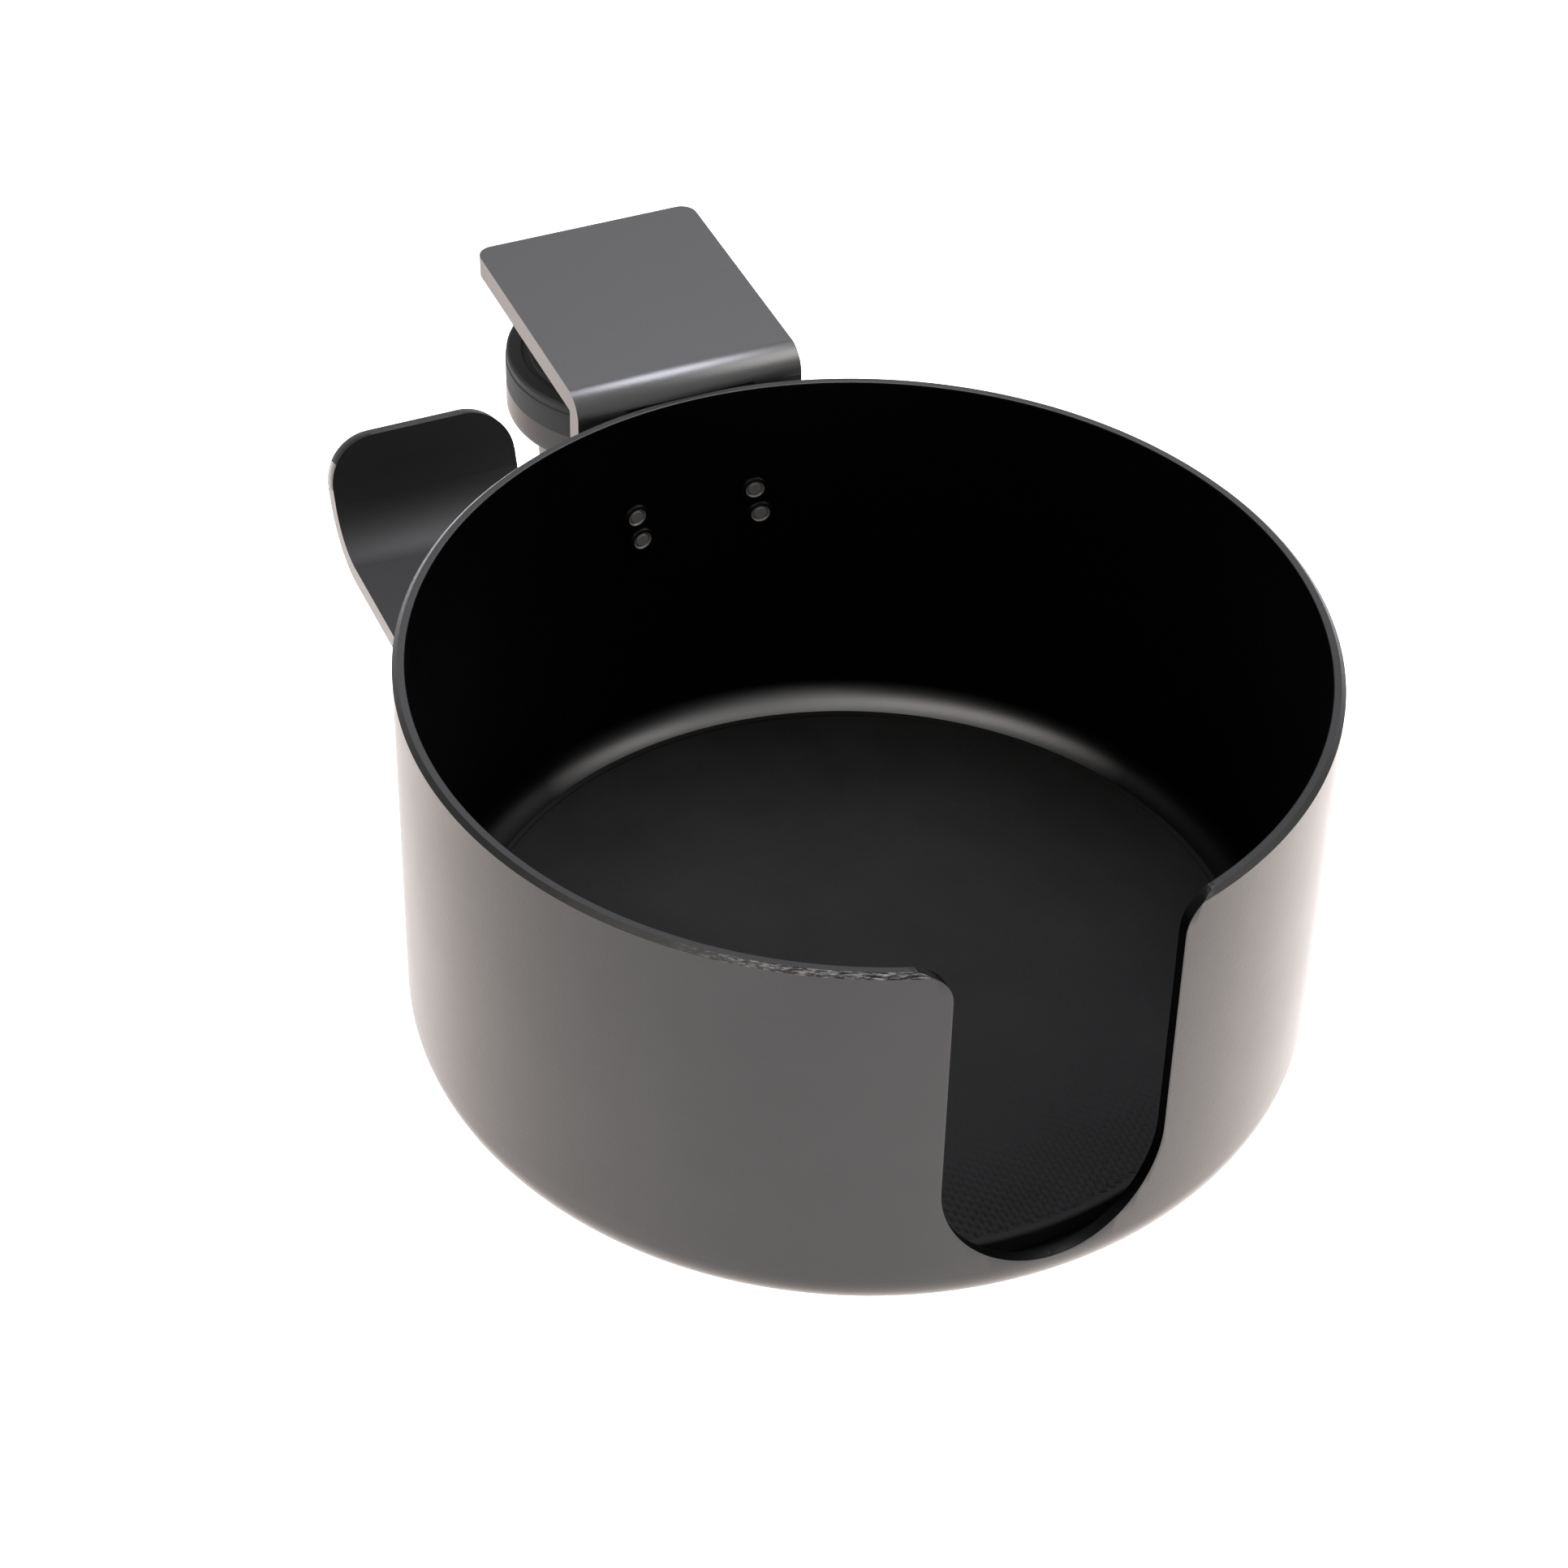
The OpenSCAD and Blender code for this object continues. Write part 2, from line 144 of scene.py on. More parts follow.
# ---------------------------------------------------------------- outlines

def rounded(points, radii, step=math.radians(10)):
    """An open outline with the corner at each listed index rounded to its radius."""
    out = []
    for i, point in enumerate(points):
        r = radii.get(i, 0)
        if not r:
            out.append(tuple(point))
            continue
        here = Vector(point)
        before = (Vector(points[i - 1]) - here).normalized()
        after = (Vector(points[(i + 1) % len(points)]) - here).normalized()
        half = before.angle(after) / 2
        centre = here + (before + after).normalized() * (r / math.sin(half))
        start = here + before * (r / math.tan(half)) - centre
        turn = math.pi - 2 * half
        side = 1 if before.x * after.y - before.y * after.x < 0 else -1
        steps = max(2, math.ceil(turn / step))
        for k in range(steps + 1):
            a = side * turn * k / steps
            out.append((
                centre.x + start.x * math.cos(a) - start.y * math.sin(a),
                centre.y + start.x * math.sin(a) + start.y * math.cos(a),
            ))
    return out


def arc(cx, cy, r, start, stop, steps):
    """Points on an arc, with the angles in radians."""
    angles = [start + (stop - start) * k / steps for k in range(steps + 1)]
    return [(cx + r * math.cos(a), cy + r * math.sin(a)) for a in angles]


def ringed(profile, spacing):
    """The profile with extra points along its long runs, so that a wall with holes in it shades cleanly."""
    out = [profile[0]]
    for (r, z), (next_r, next_z) in zip(profile, profile[1:]):
        count = max(1, math.ceil(math.dist((r, z), (next_r, next_z)) / spacing))
        for k in range(1, count + 1):
            out.append((r + (next_r - r) * k / count, z + (next_z - z) * k / count))
    return out


def rod(r, bottom, top):
    """The profile of a plain cylinder."""
    return [(0, bottom), (r, bottom), (r, top), (0, top)]


# ---------------------------------------------------------------- meshes

def mesh_from(name, verts, faces):
    """A mesh from points and from faces that hold their indices."""
    mesh = bpy.data.meshes.new(name)
    mesh.from_pydata([tuple(v) for v in verts], [], faces)
    mesh.update()
    return mesh


def lathe(name, profile, centre=(0, 0), segments=128, closed=False, radius_at=None):
    """A solid turned round a vertical axis through centre: profile holds (r, z), point by point.
    An open profile starts and ends on the axis; a closed one is a ring.
    radius_at(r, z, angle) can shape it away from the round."""
    verts, rings, faces = [], [], []
    for r, z in profile:
        if r < ON_AXIS:
            verts.append((centre[0], centre[1], z))
            rings.append([len(verts) - 1])
            continue
        ring = []
        for k in range(segments):
            a = TAU * k / segments
            out = radius_at(r, z, a) if radius_at else r
            verts.append((centre[0] + out * math.cos(a), centre[1] + out * math.sin(a), z))
            ring.append(len(verts) - 1)
        rings.append(ring)
    pairs = list(zip(rings, rings[1:])) + ([(rings[-1], rings[0])] if closed else [])
    for low, high in pairs:
        for k in range(segments):
            n = (k + 1) % segments
            if len(low) == 1 and len(high) == 1:
                continue
            if len(low) == 1:
                faces.append((low[0], high[n], high[k]))
            elif len(high) == 1:
                faces.append((low[k], low[n], high[0]))
            else:
                faces.append((low[k], low[n], high[n], high[k]))
    return mesh_from(name, verts, faces)


def prism(name, outline, low, high, place):
    """An outline of (u, v) pushed from low to high along its normal, and put in place by a 4x4."""
    n = len(outline)
    verts = [place @ Vector((u, v, w)) for w in (low, high) for u, v in outline]
    faces = [tuple(reversed(range(n))), tuple(range(n, 2 * n))]
    faces += [(k, (k + 1) % n, n + (k + 1) % n, n + k) for k in range(n)]
    return mesh_from(name, verts, faces)


def outward(mesh):
    """Turns every face outward."""
    bm = bmesh.new()
    bm.from_mesh(mesh)
    bmesh.ops.recalc_face_normals(bm, faces=bm.faces)
    bm.to_mesh(mesh)
    bm.free()
    return mesh


def joined(name, meshes):
    """One mesh made of several, which are removed."""
    bm = bmesh.new()
    for mesh in meshes:
        bm.from_mesh(mesh)
        bpy.data.meshes.remove(mesh)
    mesh = bpy.data.meshes.new(name)
    bm.to_mesh(mesh)
    bm.free()
    return mesh


def worked(mesh, cutters=(), bevel=0, angle=50):
    """The mesh after cutting the cutters out of it and breaking its sharp edges."""
    work = bpy.data.objects.new("work", outward(mesh))
    bpy.context.scene.collection.objects.link(work)
    helpers = []
    for cutter in cutters:
        helper = bpy.data.objects.new("cutter", outward(cutter))
        bpy.context.scene.collection.objects.link(helper)
        helpers.append(helper)
        cut = work.modifiers.new("cut", "BOOLEAN")
        cut.operation = "DIFFERENCE"
        cut.solver = "EXACT"
        cut.object = helper
    if bevel:
        edge = work.modifiers.new("edge", "BEVEL")
        edge.width = bevel
        edge.segments = 2
        edge.limit_method = "ANGLE"
        edge.angle_limit = math.radians(angle)
        edge.harden_normals = False
    bpy.context.view_layer.update()
    done = bpy.data.meshes.new_from_object(work.evaluated_get(bpy.context.evaluated_depsgraph_get()))
    for helper in helpers + [work]:
        bpy.data.objects.remove(helper)
    done.materials.clear()
    return done


def moved(mesh, place):
    """The mesh itself, moved by a 4x4."""
    mesh.transform(place)
    return mesh


def dress(mesh, *materials):
    """Gives the mesh its materials, in this order."""
    for material in materials:
        mesh.materials.append(material)


def finished(node, mesh, material, sharp=32):
    """The piece that stands for a CAD node: it rides on the node's body."""
    obj = bpy.data.objects.new(node + "_look", outward(mesh))
    bpy.context.scene.collection.objects.link(obj)
    if not mesh.materials:
        mesh.materials.append(material)
    mesh.set_sharp_from_angle(angle=math.radians(sharp))
    for polygon in mesh.polygons:
        square_on = max(abs(part) for part in polygon.normal) >= SQUARE_ON
        polygon.use_smooth = polygon.area < BROAD_FACE and not square_on
    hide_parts(node)
    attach(obj, NODE_BODY[node])
    return obj


# ---------------------------------------------------------------- materials

def grey(level):
    """A grey with a trace of warmth."""
    return (level, level * 0.985, level * 0.98)


class Shader:
    """A Principled material, with its nodes added one by one."""

    def __init__(self, name, color, roughness, metallic=0.0, specular=0.5):
        self.material = bpy.data.materials.new(name)
        self.material.use_nodes = True
        self.tree = self.material.node_tree
        self.main = self.tree.nodes["Principled BSDF"]
        self.main.inputs["Base Color"].default_value = (*color, 1)
        self.main.inputs["Roughness"].default_value = roughness
        self.main.inputs["Metallic"].default_value = metallic
        self.main.inputs["Specular IOR Level"].default_value = specular
        self.place = self.add("ShaderNodeTexCoord").outputs["Object"]

    def add(self, kind, **settings):
        """A node of this kind, with each value given to the socket or setting of its name."""
        node = self.tree.nodes.new(kind)
        for key, value in settings.items():
            if key in node.inputs:
                node.inputs[key].default_value = value
            else:
                setattr(node, key, value)
        return node

    def link(self, source, target):
        self.tree.links.new(source, target)

    def stretched(self, scale):
        """The object's own coordinates, scaled along each axis."""
        node = self.add("ShaderNodeMapping")
        node.inputs["Scale"].default_value = scale
        self.link(self.place, node.inputs["Vector"])
        return node.outputs["Vector"]

    def noise(self, scale, detail=3.0, roughness=0.5, vector=None):
        """A noise over the object, with its scale per metre."""
        node = self.add("ShaderNodeTexNoise", Scale=scale, Detail=detail, Roughness=roughness)
        self.link(vector or self.place, node.inputs["Vector"])
        return node.outputs["Fac"]

    def spread(self, value, low, high, start=0.0, stop=1.0):
        """The value from start to stop mapped to low to high."""
        node = self.add("ShaderNodeMapRange")
        node.inputs["From Min"].default_value = start
        node.inputs["From Max"].default_value = stop
        node.inputs["To Min"].default_value = low
        node.inputs["To Max"].default_value = high
        self.link(value, node.inputs["Value"])
        return node.outputs["Result"]

    def calc(self, operation, a, b):
        """The result of a Math node; a and b are outputs or numbers."""
        node = self.add("ShaderNodeMath", operation=operation)
        for socket, value in zip(node.inputs, (a, b)):
            if isinstance(value, (int, float)):
                socket.default_value = value
            else:
                self.link(value, socket)
        return node.outputs[0]

    def axis(self, name):
        """The object's own X, Y or Z."""
        node = self.add("ShaderNodeSeparateXYZ")
        self.link(self.place, node.inputs[0])
        return node.outputs[name]

    def near(self, point, full, none):
        """1 within the distance full of a point, fading to 0 at the distance none."""
        node = self.add("ShaderNodeVectorMath", operation="DISTANCE")
        self.link(self.place, node.inputs[0])
        node.inputs[1].default_value = point
        return self.spread(node.outputs["Value"], 1.0, 0.0, full, none)

    def colors(self, value, stops):
        """Links the colour to a ramp over the value, with stops of (position, colour)."""
        node = self.add("ShaderNodeValToRGB")
        ramp = node.color_ramp
        while len(ramp.elements) < len(stops):
            ramp.elements.new(0.5)
        for element, (at, color) in zip(ramp.elements, stops):
            element.position = at
            element.color = (*color, 1)
        self.link(value, node.inputs["Fac"])
        self.link(node.outputs["Color"], self.main.inputs["Base Color"])

    def greys(self, value, darkest=0.0):
        """Links the colour to a grey as pale as the value says."""
        self.colors(value, [(0.0, grey(darkest)), (1.0, grey(1.0))])

    def clouds(self, value, color, dark, pale):
        """Links the colour to one that the clouds of a noise make darker and paler."""
        low = tuple(c * dark for c in color)
        high = tuple(min(1, c * pale) for c in color)
        self.colors(value, [(CLOUD_START, low), (CLOUD_STOP, high)])

    def rough(self, value, low, high, start=CLOUD_START, stop=CLOUD_STOP):
        """Links the roughness to the value, from low to high."""
        self.link(self.spread(value, low, high, start, stop), self.main.inputs["Roughness"])

    def bump(self, *layers):
        """Adds bump layers of (height, strength, distance), one over the other."""
        normal = None
        for height, strength, distance in layers:
            node = self.add("ShaderNodeBump", Strength=strength, Distance=distance)
            self.link(height, node.inputs["Height"])
            if normal:
                self.link(normal, node.inputs["Normal"])
            normal = node.outputs["Normal"]
        self.link(normal, self.main.inputs["Normal"])


def powder_grain(shader):
    """The fine texture of a powder coat."""
    shader.bump(
        (shader.noise(2600, detail=2), 0.16, 0.06 * MM),
        (shader.noise(420, detail=3), 0.05, 0.12 * MM),
    )


def powder_gloss(shader, low, high):
    """The patchy roughness of a powder coat, from low to high."""
    shader.rough(shader.noise(GLOSS_PATCHES, detail=5), low, high)


def coat_material(name, level, sheen):
    """Satin black coat on metal: a fine powder texture, hardly any cloud, and paler at a glance."""
    shader = Shader(name, grey(level), COAT_ROUGHNESS, metallic=COAT_METALLIC)
    shader.main.inputs["Sheen Weight"].default_value = sheen
    shader.main.inputs["Sheen Roughness"].default_value = 0.35
    shader.main.inputs["Sheen Tint"].default_value = (1.0, 0.93, 0.885, 1)
    shader.main.inputs["Specular Tint"].default_value = (1.0, 0.92, 0.86, 1)
    shader.clouds(shader.noise(30, detail=4, roughness=0.6), grey(level), dark=0.93, pale=1.07)
    powder_gloss(shader, COAT_ROUGHNESS - 0.02, COAT_ROUGHNESS + 0.03)
    powder_grain(shader)
    return shader.material


def inside_material(floor_z, bend_r, axis_y, reach):
    """The coat inside the cup: painted shade makes it deep black, and a painted reflection makes it satin
    grey at the bend from its far wall to its floor, strongest towards its far side.
    """
    black = 0.0022
    dim, painted_reflection_level = 0.003, 0.145
    bend_from, bend_to = floor_z + bend_r * 0.3, floor_z + bend_r * 0.9
    far_side = math.radians(20)
    # The painted reflection on the bend centres on its far side and fades out away from there
    painted_reflection_at = (reach * math.sin(far_side), axis_y + reach * math.cos(far_side), floor_z)
    full_r, fade_r = 2 * MM, 36 * MM
    shader = Shader("inside_painted_shade", grey(black), COAT_ROUGHNESS, metallic=COAT_METALLIC, specular=0.2)
    low = shader.spread(shader.axis("Z"), 1.0, 0.0, bend_from, bend_to)
    level = shader.spread(shader.near(painted_reflection_at, full_r, fade_r), dim, painted_reflection_level)
    shader.greys(shader.calc("MULTIPLY", low, level), darkest=black)
    powder_gloss(shader, 0.38, 0.47)
    powder_grain(shader)
    return shader.material


def painted_rim_shading(shader, front, back, axis_y, reach):
    """Painted shading along the rim: a grey level from its front to its back."""
    from_y, to_y = axis_y - reach * 0.8, axis_y + reach * 0.3
    return shader.spread(shader.axis("Y"), front, back, from_y, to_y)


def rim_material(axis_y, reach):
    """The flat top of the rim: a darker copy of the coat, with painted shade that is deepest at the front
    and lifts towards the back.
    """
    shader = Shader("rim_top", grey(0.03), 0.4, metallic=COAT_METALLIC)
    shader.greys(painted_rim_shading(shader, 0.010, 0.024, axis_y, reach))
    powder_gloss(shader, 0.38, 0.45)
    powder_grain(shader)
    return shader.material


def cut_edge_material(corner, axis_y, reach):
    """The bevel round the rim: coated, with the rim's painted shading, and fine marks that painted glints
    brighten at one corner of the slot.
    """
    full_r, fade_r = 3 * MM, 23 * MM
    glint_peak = 0.26
    shader = Shader("rim_cut", grey(0.1), 0.34, metallic=1.0)
    marks = shader.noise(1.0, detail=5, roughness=0.7, vector=shader.stretched((600, 1800, 8000)))
    # Near the slot's corner the marks carry painted glints: bright streaks that stand for highlights on the
    # coat
    worn = shader.near(corner, full_r, fade_r)
    painted_glints = shader.calc("MULTIPLY", shader.spread(marks, 0.0, glint_peak, 0.46, 0.68), worn)
    coated = painted_rim_shading(shader, 0.010, 0.018, axis_y, reach)
    shader.greys(shader.calc("ADD", coated, painted_glints), darkest=0.01)
    shader.rough(marks, 0.26, 0.45)
    shader.bump((marks, 0.3, 0.06 * MM))
    return shader.material


def strip_material(tip, reach):
    """The strip's coat: satin on the jaw and spine, and duller along the arm, with painted shade that
    darkens it along the arm to its lip.
    """
    jaw, arm, lip = (grey(level) for level in (0.062, 0.025, 0.008))
    shader = Shader("strip_black", jaw, 0.32, metallic=COAT_METALLIC)
    along = shader.spread(shader.axis("Y"), 0.0, 1.0, tip, reach)
    # Painted shade: the colour darkens from the jaw along the arm, darkest at the lip
    shader.colors(along, [(0.04, jaw), (0.5, arm), (0.84, arm), (0.94, lip)])
    shader.rough(along, 0.36, 0.6, 0.04, 0.4)
    powder_grain(shader)
    return shader.material


def rubber_material(name, color, roughness=0.62, grain=1800, specular=0.4):
    """Dull rubber, cloudy and finely grained."""
    shader = Shader(name, color, roughness, specular=specular)
    cloud = shader.noise(60, detail=5, roughness=0.6)
    shader.clouds(cloud, color, dark=0.75, pale=1.3)
    shader.rough(cloud, roughness - 0.06, roughness + 0.08)
    shader.bump((shader.noise(grain), 0.22, 0.08 * MM))
    return shader.material


def plated_material(name, color, roughness=0.28):
    """Zinc-plated or turned metal with faint tool marks round its axis."""
    shader = Shader(name, color, roughness, metallic=1.0)
    shader.clouds(shader.noise(160, detail=5, roughness=0.65), color, dark=0.78, pale=1.15)
    turned = shader.noise(1.0, vector=shader.stretched((60, 60, 4200)))
    shader.rough(turned, roughness - 0.06, roughness + 0.12)
    shader.bump((turned, 0.12, 0.04 * MM), (shader.noise(900, detail=2), 0.05, 0.05 * MM))
    return shader.material


def plastic_material(name, color, roughness, grain=1300, depth=0.25):
    """Moulded plastic with a fine spark-eroded grain."""
    shader = Shader(name, color, roughness)
    cloud = shader.noise(70, detail=4)
    shader.clouds(cloud, color, dark=0.85, pale=1.2)
    shader.rough(cloud, roughness - 0.05, roughness + 0.06)
    shader.bump((shader.noise(grain, detail=2), depth, 0.08 * MM))
    return shader.material


# ---------------------------------------------------------------- pieces

def round_sizes(node):
    """A round piece's radius, and the heights of its bottom and top."""
    low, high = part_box(node)
    return (high.x - low.x) / 2, low.z, high.z


def cup_sizes():
    """The cup's radius, the Y of its axis, and the heights of its base and rim."""
    r, base, rim = round_sizes("cup")
    return r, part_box("cup")[0].y + r, base, rim


def rivet_angles():
    """Angles round the cup's axis: of a column of rivets, and of the lower row's shift."""
    r = cup_sizes()[0]
    return math.asin(RIVET_SPACING / 2 / r), math.asin(RIVET_LEAN / r)


def rivet_places():
    """Where each rivet sits: a 4x4 that turns +Z out through the cup's wall."""
    r, axis_y, _, rim = cup_sizes()
    column, lean = rivet_angles()
    places = []
    for side in (-1, 1):
        for row in (0, 1):
            at = Vector((0, r - WALL_T, rim - RIVET_DEPTH - row * RIVET_PITCH))
            turn = Matrix.Rotation(side * column - row * lean, 4, "Z")
            places.append(
                Matrix.Translation((0, axis_y, 0)) @ turn @ Matrix.Translation(at)
                @ Matrix.Rotation(-math.pi / 2, 4, "X")
            )
    return places


def rivet_holes(length):
    """Cutters for the rivets' holes, from inside the cup to this far out from its bore."""
    hole = rod(RIVET_SHANK_R + SEAT, -2 * MM, length)
    return [moved(lathe("hole", hole, segments=24), place) for place in rivet_places()]


def slot_cutter(axis_y, base, rim, r):
    """The handle slot as a solid that runs out through the cup's front."""
    half = SLOT_W / 2
    flare = half + SLOT_CORNER_R
    above_rim = rim + 3 * MM
    past_wall = r + 5 * MM
    right = [(flare, above_rim), (flare, rim)]
    right += arc(flare, rim - SLOT_CORNER_R, SLOT_CORNER_R, math.pi / 2, math.pi, 10)
    bottom = arc(0, base + SLOT_FLOOR + half, half, 0, -math.pi, 48)
    left = [(-u, v) for u, v in reversed(right)]
    place = Matrix.Translation((0, axis_y, 0)) @ Matrix.Rotation(math.pi / 2, 4, "X")
    return prism("slot", right + bottom + left, r * 0.3, past_wall, place)


def make_cup(coat):
    """The cup, with the coat outside, a rim and bevel darkened by painted shade, a bevel with fine marks and
    painted glints at one corner of the slot, and painted shade that makes its inside and slot edge black.
    """
    r, axis_y, base, rim = cup_sizes()
    bore = r - WALL_T
    floor = base + FLOOR_T
    inner_r = BASE_R - WALL_T
    outline = [
        (0, base), (r, base), (r, rim - RIM_BEVEL), (r - RIM_BEVEL, rim), (bore, rim),
        (bore, floor), (0, floor),
    ]
    rounds = {1: BASE_R, 4: EDGE_BREAK, 5: inner_r}
    profile = ringed(rounded(outline, rounds, step=math.radians(7)), 2.5 * MM)
    body = lathe("cup", profile, centre=(0, axis_y), segments=360)
    through_wall = 3 * MM
    cutters = [slot_cutter(axis_y, base, rim, r)] + rivet_holes(through_wall)
    mesh = worked(body, cutters, bevel=EDGE_BREAK)
    corner_x = SLOT_W / 2 + SLOT_CORNER_R
    corner = (-corner_x, axis_y - math.sqrt(r ** 2 - corner_x ** 2), rim)
    dress(
        mesh, coat, cut_edge_material(corner, axis_y, r), inside_material(floor, inner_r, axis_y, bore),
        rim_material(axis_y, r),
    )
    # Each face takes its material from where it lies and how far it faces up and out
    cut_edge, inside, rim_top = 1, 2, 3
    for polygon in mesh.polygons:
        at, normal = polygon.center, polygon.normal
        out = Vector((at.x, at.y - axis_y))
        facing = out.normalized().dot(normal.xy) if out.length > MM else 0
        on_bevel = at.z > rim - RIM_BEVEL and out.length > r - RIM_BEVEL
        if on_bevel and 0.5 < normal.z < 0.9 and facing > 0.4:
            polygon.material_index = cut_edge
        elif at.z > rim - SEAT and normal.z > 0.9:
            polygon.material_index = rim_top
        elif at.z > base + FLOOR_T / 2 and normal.z > -0.5 and facing < 0.5:
            polygon.material_index = inside
    return finished("cup", mesh, coat)


def pressed_field(r, centre, flat_z):
    """The mat's face inside its border: a fine pressed grid of pips, worn down away from the handle slot."""
    reach = r - MAT_BORDER
    steps_per_pip = 4
    step = MAT_PITCH / steps_per_pip
    half_count = int(reach / step)
    grid = np.arange(-half_count, half_count + 1) * step
    across, along = np.meshgrid(grid, grid, indexing="ij")
    turn = math.radians(45)
    x = across * math.cos(turn) - along * math.sin(turn)
    y = across * math.sin(turn) + along * math.cos(turn)
    from_centre = np.hypot(x, y)
    pips = np.abs(np.sin(math.pi * across / MAT_PITCH) * np.sin(math.pi * along / MAT_PITCH))
    worn_to, fade = 0.55, 0.35
    unworn = np.clip((-y / r - worn_to) / fade, 0, 1)
    relief = MAT_RELIEF * (MAT_WORN + (1 - MAT_WORN) * unworn)
    edge_fade = np.clip((reach - from_centre) / step, 0, 1)
    steepness = 1.5
    z = flat_z + relief * np.clip(pips * steepness, 0, 1) * edge_fade
    inside = from_centre < reach
    index = -np.ones(x.shape, int)
    index[inside] = np.arange(inside.sum())
    verts = np.stack([x[inside] + centre[0], y[inside] + centre[1], z[inside]], 1)
    corners = np.stack([index[:-1, :-1], index[1:, :-1], index[1:, 1:], index[:-1, 1:]], -1)
    faces = [tuple(int(i) for i in face) for face in corners[(corners >= 0).all(-1)]]
    return mesh_from("field", verts, faces)


def make_mat(rubber):
    """The mat: its pressed field, with a smooth border, side and underside round it."""
    low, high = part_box("floor_mat")
    r = (high.x - low.x) / 2
    cx, cy = (low.x + high.x) / 2, (low.y + high.y) / 2
    flat_z = high.z - MAT_RELIEF
    mesh = pressed_field(r, (cx, cy), flat_z)
    bm = bmesh.new()
    bm.from_mesh(mesh)
    loose = [v for v in bm.verts if not v.link_faces]
    bmesh.ops.delete(bm, geom=loose, context="VERTS")
    field_edges = [e for e in bm.edges if e.is_boundary]
    side = rounded([
        (r, low.z), (r, high.z), (r - MAT_BORDER * 0.7, high.z), (r - MAT_BORDER * 0.75, flat_z),
    ], {1: 0.4 * MM})
    segments = 256
    angles = [TAU * k / segments for k in range(segments)]
    rings = [
        [bm.verts.new((cx + ring_r * math.cos(a), cy + ring_r * math.sin(a), z)) for a in angles]
        for ring_r, z in side
    ]
    for outer, inner in zip(rings, rings[1:]):
        for k in range(segments):
            n = (k + 1) % segments
            bm.faces.new((outer[k], outer[n], inner[n], inner[k]))
    bm.faces.new(reversed(rings[0]))
    last = rings[-1]
    ring_edges = [bm.edges.get((last[k], last[(k + 1) % segments])) for k in range(segments)]
    bmesh.ops.bridge_loops(bm, edges=field_edges + ring_edges)
    bm.to_mesh(mesh)
    bm.free()
    return finished("floor_mat", mesh, rubber, sharp=60)


def strip_face(offset, sizes):
    """One face of the strip in side view, from the jaw's tip to the hook's, offset outside the bends."""
    front, tip, pad, arm, reach, height = sizes
    jaw = (front + STRIP_T + JAW_BEND_R, pad - JAW_BEND_R)
    heel = (front + STRIP_T + ARM_BEND_R, arm + ARM_BEND_R)
    lip_run = (height - HOOK_BEND_R * (1 - math.cos(HOOK_ANGLE))) / math.sin(HOOK_ANGLE)
    hook = (
        reach - (HOOK_BEND_R + STRIP_T) * math.sin(HOOK_ANGLE) - lip_run * math.cos(HOOK_ANGLE),
        arm + HOOK_BEND_R,
    )
    points = [(tip, pad + offset)]
    points += arc(*jaw, JAW_BEND_R + offset, math.pi / 2, math.pi, 18)
    points += arc(*heel, ARM_BEND_R + offset, math.pi, math.pi * 1.5, 18)
    points += arc(*hook, HOOK_BEND_R + offset, math.pi * 1.5, math.pi * 1.5 + HOOK_ANGLE, 18)
    end = points[-1]
    points.append((end[0] + lip_run * math.cos(HOOK_ANGLE), end[1] + lip_run * math.sin(HOOK_ANGLE)))
    return points


def corner_cutters(r, half, place):
    """What rounds the two corners of a strip that ends at the origin of place and runs along its -x."""
    cutters = []
    for side in (1, -1):
        outline = [(r + MM, 0), (r + MM, r + MM), (0, r + MM)] + arc(0, 0, r, math.pi / 2, 0, 14)
        outline = [(u - r, side * (half - r + v)) for u, v in outline]
        cutters.append(prism("corner", outline, -2 * STRIP_T, 2 * STRIP_T, place))
    return cutters


def make_strip(side_coat):
    """The strip, with its own coat on its broad faces and the paler one on its cut sides."""
    low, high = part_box("clamp_strip")
    half = (high.x - low.x) / 2
    arm = low.z + STRIP_T
    tip = low.y + JAW_L
    sizes = (low.y, tip, high.z - STRIP_T, arm, high.y, HOOK_H)
    outer, inner = strip_face(STRIP_T, sizes), strip_face(0, sizes)
    side_view = Matrix(((0, 0, 1, 0), (1, 0, 0, 0), (0, 1, 0, 0), (0, 0, 0, 1)))
    body = prism("strip", outer + inner[::-1], -half, half, side_view)
    along = Matrix.Rotation(math.pi / 2, 4, "Z")
    lip = Matrix.Translation((0, *inner[-1])) @ Matrix.Rotation(HOOK_ANGLE, 4, "X") @ along
    cutters = corner_cutters(JAW_CORNER_R, half, Matrix.Translation((0, tip, high.z)) @ along)
    cutters += corner_cutters(HOOK_CORNER_R, half, lip)
    r, axis_y, base, rim = cup_sizes()
    wall = rod(r + SEAT, base - MM, rim + 2 * SEAT)
    cutters.append(lathe("wall", wall, centre=(0, axis_y), segments=360))
    through_strip = 6 * MM
    cutters += rivet_holes(through_strip)
    cutters.append(lathe("bush_hole", rod(BUSH_R + SEAT, arm - 3 * MM, arm + MM), segments=96))
    mesh = worked(body, cutters, bevel=0.25 * MM, angle=40)
    coat = strip_material(tip, high.y)
    dress(mesh, coat, side_coat)
    for polygon in mesh.polygons:
        if abs(polygon.normal.x) > 0.6 and abs(polygon.center.x) > half - MM:
            polygon.material_index = 1
    return finished("clamp_strip", mesh, coat)


